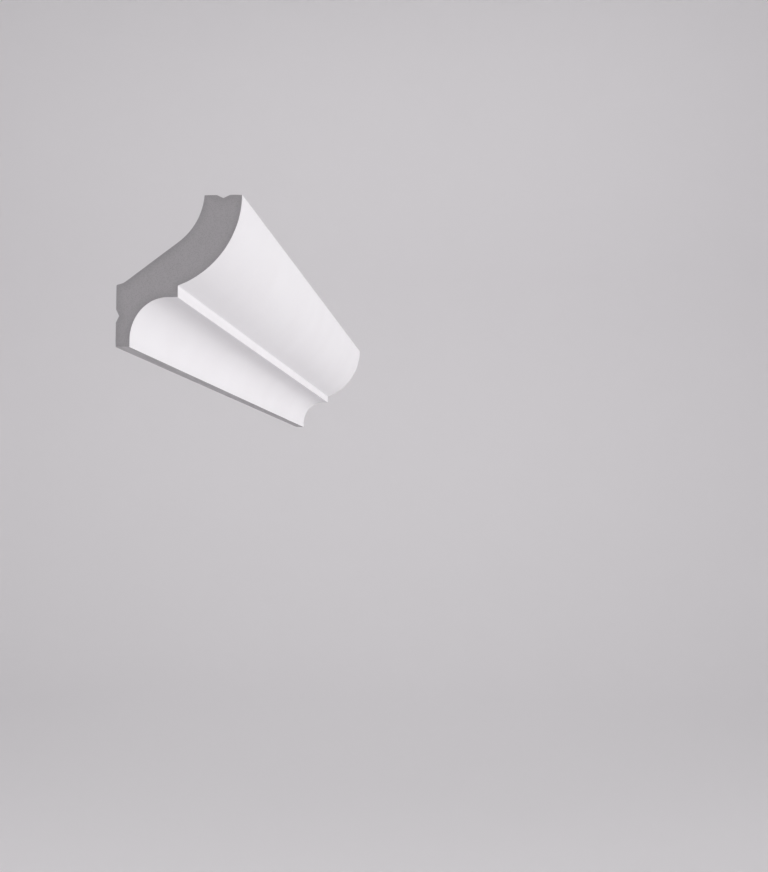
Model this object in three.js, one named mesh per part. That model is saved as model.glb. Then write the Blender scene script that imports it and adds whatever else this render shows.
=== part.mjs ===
// A straight length of crown moulding for the angle between a wall and a ceiling, cut square at both
// ends. Units are millimetres, +Z is up and +X runs along the length. The wall is the plane y = 0, and
// the moulding stands out from it towards -Y. The origin is on the wall face, half way along, in the
// middle of the flat between the bottom edge and the adhesive groove.
import * as THREE from 'three';

// Overall sizes
const runLength = 760;
const projection = 80;
const drop = 96;

// Bonding faces, each with a V groove along its middle that takes the adhesive
const ceilingFaceWidth = 24.3;
const wallFaceHeight = 39.6;
const grooveWidth = 8.4;
const grooveDepth = 2;

// Front, from the bottom edge upwards
const toeThickness = 9.3;
const toeHeight = 4.9;
const coveDepth = 23.5;
const coveHeight = 26.2;
const soffitWidth = 6.9;
const filletHeight = 7.4;

// Hollowed back: a short shelf above the wall face, a straight slope, and a curve up to the ceiling face.
// The knee is where the slope would meet the flank of the ceiling face if nothing were rounded.
const shelfWidth = 4.5;
const shelfRise = 1.1;
const kneeBelowCeiling = 19.2;
const kneeInset = 2.2;

// Roundings
const kneeRadius = 40;
const shelfRadius = 11;
const shelfLipRadius = 0.9;
const arrisRadius = 0.45;
const grooveLipRadius = 0.8;
const grooveRootRadius = 0.5;

// Number of flats that stand for a long curve and for a softened edge
const curveFlats = 32;
const edgeFlats = 5;

// Largest share of a flat that the roundings at its two ends may take up
const roundedShare = 0.97;

const primerWhite = '#eeedef';

// The section is drawn with x out from the wall and y up from the bottom edge.
const filletFace = toeThickness + coveDepth + soffitWidth;
const filletBottom = toeHeight + coveHeight;
const filletTop = filletBottom + filletHeight;

function corner(x, y, radius = 0, flats = edgeFlats) {
  return { at: new THREE.Vector2(x, y), radius, flats };
}

function curveCorners(curve) {
  return curve.getPoints(curveFlats).map((point) => corner(point.x, point.y));
}

// The cove is a quarter of an ellipse, upright where it leaves the toe and level under the fillet.
function coveCorners() {
  const centreX = toeThickness + coveDepth;
  return curveCorners(
    new THREE.EllipseCurve(centreX, toeHeight, coveDepth, coveHeight, Math.PI, Math.PI / 2, true),
  );
}

// The ovolo is part of a circle centred on the ceiling, so that it leaves the ceiling upright, and it
// passes through the top edge of the fillet.
function ovoloCorners() {
  const reach = projection - filletFace;
  const rise = drop - filletTop;
  const radius = (reach ** 2 + rise ** 2) / (2 * reach);
  const start = Math.atan2(-rise, radius - reach);
  const corners = curveCorners(
    new THREE.EllipseCurve(projection - radius, drop, radius, radius, start, 0),
  );
  corners.at(0).radius = arrisRadius;
  corners.at(-1).radius = arrisRadius;
  return corners;
}

function ceilingGrooveCorners() {
  const middle = projection - ceilingFaceWidth / 2;
  return [
    corner(middle + grooveWidth / 2, drop, grooveLipRadius),
    corner(middle, drop - grooveDepth, grooveRootRadius),
    corner(middle - grooveWidth / 2, drop, grooveLipRadius),
  ];
}

function backCorners() {
  const top = projection - ceilingFaceWidth;
  return [
    corner(top, drop, arrisRadius),
    corner(top - kneeInset, drop - kneeBelowCeiling, kneeRadius, curveFlats),
    corner(shelfWidth, wallFaceHeight + shelfRise, shelfRadius),
    corner(0, wallFaceHeight, shelfLipRadius),
  ];
}

function wallGrooveCorners() {
  const middle = wallFaceHeight / 2;
  return [
    corner(0, middle + grooveWidth / 2, grooveLipRadius),
    corner(grooveDepth, middle, grooveRootRadius),
    corner(0, middle - grooveWidth / 2, grooveLipRadius),
  ];
}

function neighbours(list, index) {
  return [list.at(index - 1), list[(index + 1) % list.length]];
}

// Turns each corner with a radius into an arc that touches the flats on both sides of it. Where the arcs
// at the two ends of a flat would run into each other, both are made smaller.
function roundOff(corners) {
  const bends = corners.map((item, index) => {
    const [before, after] = neighbours(corners, index).map((other) => other.at.clone().sub(item.at));
    const halfAngle = before.angleTo(after) / 2;
    return { before, after, halfAngle, tangent: item.radius / Math.tan(halfAngle) };
  });
  return corners.flatMap((item, index) => {
    if (item.radius === 0) return [item.at];
    const { before, after, halfAngle, tangent } = bends[index];
    const [last, next] = neighbours(bends, index);
    const shares = [
      (roundedShare * before.length()) / (tangent + last.tangent),
      (roundedShare * after.length()) / (tangent + next.tangent),
    ];
    const start = before.clone().setLength(tangent * Math.min(1, ...shares));
    const radius = start.length() * Math.tan(halfAngle);
    const centre = before.clone().normalize().add(after.clone().normalize());
    centre.setLength(radius / Math.sin(halfAngle));
    const turn = Math.sign(after.cross(before)) * (Math.PI - 2 * halfAngle);
    return Array.from({ length: item.flats + 1 }, (_, step) =>
      start.clone().rotateAround(centre, (turn * step) / item.flats).add(item.at));
  });
}

function sectionOutline() {
  return roundOff([
    corner(0, 0, arrisRadius),
    corner(toeThickness, 0, arrisRadius),
    ...coveCorners(),
    corner(filletFace, filletBottom, arrisRadius),
    ...ovoloCorners(),
    ...ceilingGrooveCorners(),
    ...backCorners(),
    ...wallGrooveCorners(),
  ]);
}

// Out from the wall is -Y, so the outline is mirrored as it becomes a shape.
const outline = sectionOutline().map((point) => new THREE.Vector2(-point.x, point.y));
const geometry = new THREE.ExtrudeGeometry(new THREE.Shape(outline), {
  depth: runLength,
  bevelEnabled: false,
});

const moulding = new THREE.Mesh(
  geometry,
  new THREE.MeshStandardMaterial({ color: primerWhite, roughness: 0.55, metalness: 0 }),
);
moulding.name = 'crown_moulding';

// Turned so that the section's x and y become Y and Z, and the extrusion runs along X
const lowerFlatMiddle = (wallFaceHeight - grooveWidth) / 4;
moulding.rotation.set(Math.PI / 2, Math.PI / 2, 0);
moulding.position.set(-runLength / 2, 0, -lowerFlatMiddle);

const model = new THREE.Group();
model.name = 'crown_moulding_length';
model.add(moulding);

export default model;
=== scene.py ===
import math

import bmesh
import bpy
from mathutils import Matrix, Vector, geometry, noise


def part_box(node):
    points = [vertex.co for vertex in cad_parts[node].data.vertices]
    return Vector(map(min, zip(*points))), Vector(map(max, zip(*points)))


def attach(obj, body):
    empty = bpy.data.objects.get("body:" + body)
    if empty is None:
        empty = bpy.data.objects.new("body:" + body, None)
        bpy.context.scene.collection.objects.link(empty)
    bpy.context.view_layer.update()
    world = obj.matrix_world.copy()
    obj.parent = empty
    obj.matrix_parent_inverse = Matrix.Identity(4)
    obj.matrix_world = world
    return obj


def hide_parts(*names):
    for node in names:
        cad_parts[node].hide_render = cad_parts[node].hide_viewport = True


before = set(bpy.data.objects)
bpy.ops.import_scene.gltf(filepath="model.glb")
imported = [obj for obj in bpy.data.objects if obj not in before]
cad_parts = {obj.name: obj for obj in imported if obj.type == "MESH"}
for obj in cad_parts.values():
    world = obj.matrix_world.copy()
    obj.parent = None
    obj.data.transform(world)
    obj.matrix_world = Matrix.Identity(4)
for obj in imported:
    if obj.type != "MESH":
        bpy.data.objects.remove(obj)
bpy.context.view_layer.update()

# Everything is in metres. The moulding runs along X. Its wall face lies in the plane y = 0 and looks
# along +Y, its front stands out towards -Y, and its ceiling face looks up.
lowCorner, highCorner = [Vector(corner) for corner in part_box("crown_moulding")]
mm = 0.001
noiseRange = (0.3, 0.7)  # a noise texture seldom leaves it


def hexToLinear(code):
    channels = [int(code[i:i + 2], 16) / 255 for i in (1, 3, 5)]
    return tuple(c / 12.92 if c <= 0.04045 else ((c + 0.055) / 1.055) ** 2.4 for c in channels) + (1.0,)


def addNode(tree, kind, inputs=None, **settings):
    # a socket given as an input is linked, a hex colour is turned linear, anything else is a plain value
    node = tree.nodes.new(kind)
    for name, value in settings.items():
        setattr(node, name, value)
    for socket, value in (inputs or {}).items():
        if isinstance(value, bpy.types.NodeSocket):
            tree.links.new(value, node.inputs[socket])
        else:
            node.inputs[socket].default_value = hexToLinear(value) if isinstance(value, str) else value
    return node


def startMaterial(name, look):
    material = bpy.data.materials.new(name)
    material.use_nodes = True
    tree = material.node_tree
    shader = tree.nodes["Principled BSDF"]
    shader.inputs["Roughness"].default_value = look["roughness"]
    shader.inputs["IOR"].default_value = look["ior"]
    place = addNode(tree, "ShaderNodeTexCoord").outputs["Object"]
    return material, tree, shader, place


def streaksAlongRun(tree, place, width, length, detail=3.0):
    stretched = addNode(tree, "ShaderNodeMapping", {"Vector": place, "Scale": (width / length, 1, 1)})
    streaks = addNode(tree, "ShaderNodeTexNoise", {
        "Vector": stretched.outputs[0], "Scale": 1 / width, "Detail": detail})
    return streaks.outputs["Fac"]


def addMesh(name, built, materials):
    for face in built.faces:
        face.smooth = True
    mesh = bpy.data.meshes.new(name)
    built.to_mesh(mesh)
    built.free()
    for material in materials:
        mesh.materials.append(material)
    thing = bpy.data.objects.new(name, mesh)
    bpy.context.scene.collection.objects.link(thing)
    return thing


# A little below the moulding and out from its front, looking along the run
camera = {
    "place": (-1.1092, -0.2258, -0.1068),
    "turn": (93.357, -0.182, -85.601),  # degrees
    "lens": 49.2,  # mm, in front of a 36 mm sensor
}


def makeCamera():
    data = bpy.data.cameras.new("camera")
    data.lens = camera["lens"]
    eye = bpy.data.objects.new("camera", data)
    eye.location = camera["place"]
    eye.rotation_euler = [math.radians(angle) for angle in camera["turn"]]
    bpy.context.scene.collection.objects.link(eye)
    bpy.context.scene.camera = eye


makeCamera()
print("camera set")

# Acrylic primer, sprayed on in the factory: clean white, a satin sheen, a trace of orange peel, and
# the long faint lines that the extruder's die left in the foam below it
primer = {
    "white": "#f2f1f3",
    "shade": "#ebe9eb",
    "patch": 60 * mm,
    "roughness": 0.52,
    "roughnessSpread": 0.05,
    "ior": 1.49,
    "orangePeel": 2.2 * mm,  # really about 1 mm, drawn coarser so that it shows
    "peelDepth": 0.04 * mm,
    "dieLine": 3 * mm,
    "dieLineLength": 240 * mm,
    "dieLineDepth": 0.04 * mm,
}


def makePrimer():
    material, tree, shader, place = startMaterial("sprayed_acrylic_primer", primer)
    patch = addNode(tree, "ShaderNodeTexNoise", {
        "Vector": place, "Scale": 1 / primer["patch"], "Detail": 3.0})
    tone = addNode(tree, "ShaderNodeMix", {
        0: patch.outputs["Fac"], 6: primer["white"], 7: primer["shade"]}, data_type="RGBA")
    tree.links.new(tone.outputs[2], shader.inputs["Base Color"])
    gloss = addNode(tree, "ShaderNodeMapRange", {
        "Value": patch.outputs["Fac"],
        "To Min": primer["roughness"] - primer["roughnessSpread"],
        "To Max": primer["roughness"] + primer["roughnessSpread"]})
    tree.links.new(gloss.outputs[0], shader.inputs["Roughness"])
    dieLines = streaksAlongRun(tree, place, primer["dieLine"], primer["dieLineLength"])
    dieBump = addNode(tree, "ShaderNodeBump", {"Height": dieLines, "Distance": primer["dieLineDepth"]})
    peel = addNode(tree, "ShaderNodeTexNoise", {"Vector": place, "Scale": 1 / primer["orangePeel"]})
    peelBump = addNode(tree, "ShaderNodeBump", {
        "Height": peel.outputs["Fac"], "Distance": primer["peelDepth"], "Normal": dieBump.outputs[0]})
    tree.links.new(peelBump.outputs[0], shader.inputs["Normal"])
    return material


# The same primer on the bottom edge, which looks down, coloured mid grey in lengthwise streaks in place
# of white: painted shade that stands in for the shade under the moulding, and a little rougher
paintedShadePrimer = {
    "paintedShadeLight": "#c5c3c5",
    "paintedShadeDark": "#adabad",
    "roughness": 0.62,
    "ior": 1.49,
    "streak": 2.4 * mm,
    "streakLength": 30 * mm,
}


def makePaintedShadePrimer():
    material, tree, shader, place = startMaterial("primer_with_painted_shade", paintedShadePrimer)
    streaks = streaksAlongRun(tree, place, paintedShadePrimer["streak"], paintedShadePrimer["streakLength"])
    spread = addNode(tree, "ShaderNodeMapRange", {
        "Value": streaks, "From Min": noiseRange[0], "From Max": noiseRange[1]})
    # painted shade: two greys in streaks take the place of the primer's white on the bottom strip
    tone = addNode(tree, "ShaderNodeMix", {
        0: spread.outputs[0], 6: paintedShadePrimer["paintedShadeLight"], 7: paintedShadePrimer["paintedShadeDark"]}, data_type="RGBA")
    tree.links.new(tone.outputs[2], shader.inputs["Base Color"])
    return material


# Rigid polymer foam, sawn across: matt mid grey with a fine grain of cut cells, and darker towards its
# outline, partly for the denser foam there and partly as painted shade at the cut's edges
sawnFoam = {
    "core": "#b6b4b6",
    # rim: partly the denser foam, partly painted shade near the cut's outline
    "rim": "#a8a6a8",
    "pore": "#918f91",
    "poreShare": 0.4,
    "poreEdge": (0.15, 0.55),  # from a cell's middle, in cells
    "roughness": 0.9,
    "ior": 1.5,
    "cell": 0.8 * mm,  # really 0.1 to 0.3 mm, drawn coarser so that they show
    "cellDepth": 0.03 * mm,
    "cloud": 11 * mm,
    "rimWidth": 7.8 * mm,
    "rimDrift": 3 * mm,  # how far the clouds push the rim's inner edge about
}


def makeSawnFoam():
    material, tree, shader, place = startMaterial("sawn_polymer_foam", sawnFoam)
    depth = addNode(tree, "ShaderNodeAttribute", attribute_name="depthInFoam").outputs["Fac"]
    cloud = addNode(tree, "ShaderNodeTexNoise", {
        "Vector": place, "Scale": 1 / sawnFoam["cloud"], "Detail": 4.0})
    drift = addNode(tree, "ShaderNodeMath", {
        0: cloud.outputs["Fac"], 1: sawnFoam["rimDrift"], 2: depth}, operation="MULTIPLY_ADD")
    inside = addNode(tree, "ShaderNodeMapRange", {
        "Value": drift.outputs[0], "From Min": 0.0, "From Max": sawnFoam["rimWidth"]},
        interpolation_type="SMOOTHSTEP")
    # partly painted shade: the rim colour darkens the cut towards its outline, most of all across the
    # thin toe
    tone = addNode(tree, "ShaderNodeMix", {
        0: inside.outputs[0], 6: sawnFoam["rim"], 7: sawnFoam["core"]}, data_type="RGBA")
    cells = addNode(tree, "ShaderNodeTexVoronoi", {"Vector": place, "Scale": 1 / sawnFoam["cell"]})
    pores = addNode(tree, "ShaderNodeMapRange", {
        "Value": cells.outputs["Distance"],
        "From Min": sawnFoam["poreEdge"][0], "From Max": sawnFoam["poreEdge"][1],
        "To Min": sawnFoam["poreShare"], "To Max": 0.0})
    speckled = addNode(tree, "ShaderNodeMix", {
        0: pores.outputs[0], 6: tone.outputs[2], 7: sawnFoam["pore"]}, data_type="RGBA")
    tree.links.new(speckled.outputs[2], shader.inputs["Base Color"])
    bump = addNode(tree, "ShaderNodeBump", {
        "Height": cells.outputs["Distance"], "Distance": sawnFoam["cellDepth"]})
    tree.links.new(bump.outputs[0], shader.inputs["Normal"])
    return material


# Skin of the same foam, ironed smooth by the extruder's die and left bare for the adhesive: a lighter,
# closed surface with soft streaks along the run, and a mist of primer that drifted over its front edges
bareSkin = {
    "light": "#bdbbbd",
    "dark": "#acaaac",
    "mist": "#dddbdd",
    "roughness": 0.6,
    "ior": 1.5,
    "streak": 9 * mm,
    "streakLength": 160 * mm,
    "dieLine": 2.6 * mm,
    "dieLineLength": 300 * mm,
    "dieLineDepth": 0.03 * mm,
    "mistReach": 5 * mm,
}


def makeBareSkin():
    material, tree, shader, place = startMaterial("extruded_foam_skin", bareSkin)
    streaks = streaksAlongRun(tree, place, bareSkin["streak"], bareSkin["streakLength"], detail=5.0)
    spread = addNode(tree, "ShaderNodeMapRange", {
        "Value": streaks, "From Min": noiseRange[0], "From Max": noiseRange[1]})
    tone = addNode(tree, "ShaderNodeMix", {
        0: spread.outputs[0], 6: bareSkin["light"], 7: bareSkin["dark"]}, data_type="RGBA")
    across = addNode(tree, "ShaderNodeSeparateXYZ", {"Vector": place})
    reach = bareSkin["mistReach"]
    overCeilingFace = addNode(tree, "ShaderNodeMapRange", {
        "Value": across.outputs["Y"], "From Min": lowCorner.y, "From Max": lowCorner.y + reach,
        "To Min": 1.0, "To Max": 0.0}, interpolation_type="SMOOTHSTEP")
    overWallFace = addNode(tree, "ShaderNodeMapRange", {
        "Value": across.outputs["Z"], "From Min": lowCorner.z, "From Max": lowCorner.z + reach,
        "To Min": 1.0, "To Max": 0.0}, interpolation_type="SMOOTHSTEP")
    either = addNode(tree, "ShaderNodeMath", {
        0: overCeilingFace.outputs[0], 1: overWallFace.outputs[0]}, operation="MAXIMUM")
    misted = addNode(tree, "ShaderNodeMix", {
        0: either.outputs[0], 6: tone.outputs[2], 7: bareSkin["mist"]}, data_type="RGBA")
    tree.links.new(misted.outputs[2], shader.inputs["Base Color"])
    dieLines = streaksAlongRun(tree, place, bareSkin["dieLine"], bareSkin["dieLineLength"])
    bump = addNode(tree, "ShaderNodeBump", {"Height": dieLines, "Distance": bareSkin["dieLineDepth"]})
    tree.links.new(bump.outputs[0], shader.inputs["Normal"])
    return material


finishes = [makePrimer(), makePaintedShadePrimer(), makeBareSkin(), makeSawnFoam()]
primed, shadedBottom, bare, sawn = range(4)
print("materials made")

moulding = {
    "stationSpacing": 12 * mm,
    "waviness": 0.12 * mm,  # the foam is never quite straight, and only ever dips inwards
    "waveLength": 90 * mm,
    "easedCut": 0.1 * mm,
    "coatLine": 0.26 * mm,  # primer or skin seen edge on round the cut
    "coatSpread": 0.08 * mm,
    "coatPatch": 4 * mm,
    "sawGrid": 1.5 * mm,
    "sawPitch": 5 * mm,
    "sawDepth": 0.06 * mm,
    "sawFade": 3 * mm,
    "bladeAxle": (-130 * mm, 90 * mm),  # y and z
    "bottomEdge": 1 * mm,  # height of the bottom strip that gets the painted shade
    "facesDown": -0.9,  # upward part of a normal below which a face looks down
    "sharpFrom": 40,  # degrees between faces
}


def readSection(node):
    # outline of the square end as (y, z) points, anticlockwise seen from its own side
    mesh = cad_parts[node].data
    end = highCorner.x - 0.001 * mm  # just short of the end, for rounding
    edges = set()
    for face in mesh.polygons:
        corners = [mesh.vertices[i].co for i in face.vertices]
        if min(corner.x for corner in corners) > end:
            # rounded, so that the corners which neighbouring faces share are the same
            keys = [(round(corner.y, 7), round(corner.z, 7)) for corner in corners]
            edges.update(zip(keys, keys[1:] + keys[:1]))
    following = {a: b for a, b in edges if (b, a) not in edges}
    loop = [min(following)]
    while len(loop) < len(following):
        loop.append(following[loop[-1]])
    return [Vector(point) for point in loop]


def outwardNormals(loop):
    steps = [(after - point).normalized() for point, after in zip(loop, loop[1:] + loop[:1])]
    return [Vector((step.y, -step.x)) for step in steps]


def cornerMoves(normals):
    # the move that takes a corner out by one with both of its edges
    moves = []
    for i, normal in enumerate(normals):
        middle = (normals[i - 1] + normal).normalized()
        moves.append(middle / middle.dot(normal))
    return moves


def finishOf(point, normal):
    # the spray comes from the front and below, so it meets what faces out or down
    if -normal.x - normal.y <= 0:
        return bare
    # painted shade: the down-facing strip along the bottom takes the grey painted-shade primer
    isLow = point.y < lowCorner.z + moulding["bottomEdge"]
    onBottomEdge = isLow and normal.y < moulding["facesDown"]
    return shadedBottom if onBottomEdge else primed


def addRing(built, section, moves, x, inset):
    ring = []
    for point, move in zip(section, moves):
        place = point - move * inset(Vector((x, point.x, point.y)))
        ring.append(built.verts.new((x, place.x, place.y)))
    return ring


def distanceToOutline(point, section):
    flat = Vector((point.y, point.z))
    nearest = math.inf
    for a, b in zip(section, section[1:] + section[:1]):
        foot, share = geometry.intersect_point_line(flat, a, b)
        foot = a if share < 0 else b if share > 1 else foot
        nearest = min(nearest, (flat - Vector(foot)).length)
    return nearest


def divideCut(built, cap):
    patch = [cap]
    for axis in (1, 2):
        level = lowCorner[axis] + moulding["sawGrid"]
        while level < highCorner[axis]:
            at, normal = Vector((0, 0, 0)), Vector((0, 0, 0))
            at[axis], normal[axis] = level, 1
            edges = {edge for face in patch for edge in face.edges}
            points = {vertex for face in patch for vertex in face.verts}
            made = bmesh.ops.bisect_plane(
                built, geom=[*patch, *edges, *points], plane_co=at, plane_no=normal)
            patch = [item for item in made["geom"] if isinstance(item, bmesh.types.BMFace)]
            level += moulding["sawGrid"]
    return patch


def sawCut(built, cap, section, depthLayer):
    # shallow arcs that the blade left, fading out at the skin
    patch = divideCut(built, cap)
    axle = Vector(moulding["bladeAxle"])
    for vertex in {vertex for face in patch for vertex in face.verts}:
        depth = distanceToOutline(vertex.co, section)
        vertex[depthLayer] = depth
        radius = (Vector((vertex.co.y, vertex.co.z)) - axle).length
        swing = noise.noise(Vector((radius / moulding["sawPitch"], 0, vertex.co.x)))
        sink = moulding["sawDepth"] * (0.5 + 0.5 * swing) * min(1, depth / moulding["sawFade"])
        vertex.co.x -= math.copysign(sink, vertex.co.x)


def makeMoulding():
    section = readSection("crown_moulding")
    normals = outwardNormals(section)
    moves = cornerMoves(normals)
    built = bmesh.new()
    depthLayer = built.verts.layers.float.new("depthInFoam")
    cut = moulding["easedCut"]

    def wavy(place):
        return moulding["waviness"] * (0.5 + 0.5 * noise.noise(place / moulding["waveLength"]))

    def eased(place):
        return cut

    def coated(place):
        spread = moulding["coatSpread"] * noise.noise(place / moulding["coatPatch"])
        return cut + moulding["coatLine"] + spread

    first, last = lowCorner.x + cut, highCorner.x - cut
    stations = round((last - first) / moulding["stationSpacing"])
    places = [(lowCorner.x, coated), (lowCorner.x, eased)]
    places += [(first + (last - first) * i / stations, wavy) for i in range(stations + 1)]
    places += [(highCorner.x, eased), (highCorner.x, coated)]
    rings = [addRing(built, section, moves, x, inset) for x, inset in places]
    for near, far in zip(rings, rings[1:]):
        for i, normal in enumerate(normals):
            j = (i + 1) % len(section)
            face = built.faces.new((near[i], near[j], far[j], far[i]))
            face.material_index = finishOf(section[i], normal)
    for outline in (rings[0][::-1], rings[-1]):
        cap = built.faces.new(outline)
        cap.material_index = sawn
        sawCut(built, cap, section, depthLayer)
    piece = addMesh("primed_moulding", built, finishes)
    piece.data.set_sharp_from_angle(angle=math.radians(moulding["sharpFrom"]))
    piece.modifiers.new("flats stay flat", "WEIGHTED_NORMAL").keep_sharp = True
    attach(piece, "root")
    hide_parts("crown_moulding")


makeMoulding()
print("moulding made")

# A seamless bowl of painted board, flat in the middle and swept up all round into a wall: pale and matt,
# so that it carries no highlight
studio = {
    "paint": "#e8e6e8",
    "roughness": 0.9,
    "ior": 1.45,
    "floorHeight": -0.62,
    "flatRadius": 2.2,
    "flatSteps": 4,
    "sweepRadius": 1.4,
    "wallTop": 3.2,
    "sides": 96,
    "sweepSteps": 12,
}


def makeStudio():
    material, _, shader, _ = startMaterial("matt_studio_paint", studio)
    shader.inputs["Base Color"].default_value = hexToLinear(studio["paint"])
    steps = studio["flatSteps"]
    profile = [(studio["flatRadius"] * i / steps, studio["floorHeight"]) for i in range(1, steps + 1)]
    for i in range(1, studio["sweepSteps"] + 1):
        angle = math.radians(90) * i / studio["sweepSteps"]
        out = studio["flatRadius"] + studio["sweepRadius"] * math.sin(angle)
        up = studio["floorHeight"] + studio["sweepRadius"] * (1 - math.cos(angle))
        profile.append((out, up))
    profile.append((profile[-1][0], studio["wallTop"]))
    built = bmesh.new()
    turns = [math.tau * i / studio["sides"] for i in range(studio["sides"])]
    middle = built.verts.new((0, 0, studio["floorHeight"]))
    rings = []
    for out, up in profile:
        rings.append([built.verts.new((out * math.cos(t), out * math.sin(t), up)) for t in turns])
    for i in range(studio["sides"]):
        j = (i + 1) % studio["sides"]
        built.faces.new((middle, rings[0][i], rings[0][j]))
        for inner, outer in zip(rings, rings[1:]):
            built.faces.new((inner[i], outer[i], outer[j], inner[j]))
    addMesh("studio_floor", built, [material])


makeStudio()
print("studio floor made")

# Soft panels with grids: the key and the back light face the moulding, and the washes hang high and
# light the bowl's walls, so that the floor bounces little light up under the moulding
panels = {
    "key": {"place": (-0.1, -2.6, 0), "faces": (0, 0, 0.03), "size": (2.6, 1), "watts": 12.2},
    "back": {"place": (0.2, 1.8, 2.1), "faces": (0, 0, 0.03), "size": (2.4, 1.6), "watts": 8},
    "washFar": {"place": (1.2, 0, 2.9), "faces": (3.4, 0, 0.4), "size": (2.6, 0.8), "watts": 9.5},
    "washNear": {"place": (-1.2, 0, 2.9), "faces": (-3.4, 0, 0.4), "size": (2.6, 0.8), "watts": 20},
    "washFront": {"place": (0, -1.2, 2.9), "faces": (0, -3.4, 0.4), "size": (2.6, 0.8), "watts": 2},
    "washBehind": {"place": (0, 1.2, 2.9), "faces": (0, 3.4, 0.4), "size": (2.6, 0.8), "watts": 4},
}
lighting = {
    "throw": 90,  # degrees across which a panel spreads its light
    "ambience": "#ffffff",
    "ambienceStrength": 0.45,
}


def makeLights():
    for name, panel in panels.items():
        data = bpy.data.lights.new(name, "AREA")
        data.shape = "RECTANGLE"
        data.size, data.size_y = panel["size"]
        data.spread = math.radians(lighting["throw"])
        data.energy = panel["watts"]
        lamp = bpy.data.objects.new(name, data)
        lamp.location = panel["place"]
        aim = Vector(panel["faces"]) - Vector(panel["place"])
        lamp.rotation_euler = aim.to_track_quat("-Z", "Y").to_euler()
        lamp.visible_camera = False
        bpy.context.scene.collection.objects.link(lamp)
    world = bpy.data.worlds.new("studio_air")
    world.use_nodes = True
    background = world.node_tree.nodes["Background"]
    background.inputs["Color"].default_value = hexToLinear(lighting["ambience"])
    background.inputs["Strength"].default_value = lighting["ambienceStrength"]
    bpy.context.scene.world = world
    bpy.context.scene.view_settings.view_transform = "Standard"


makeLights()
print("lights set")
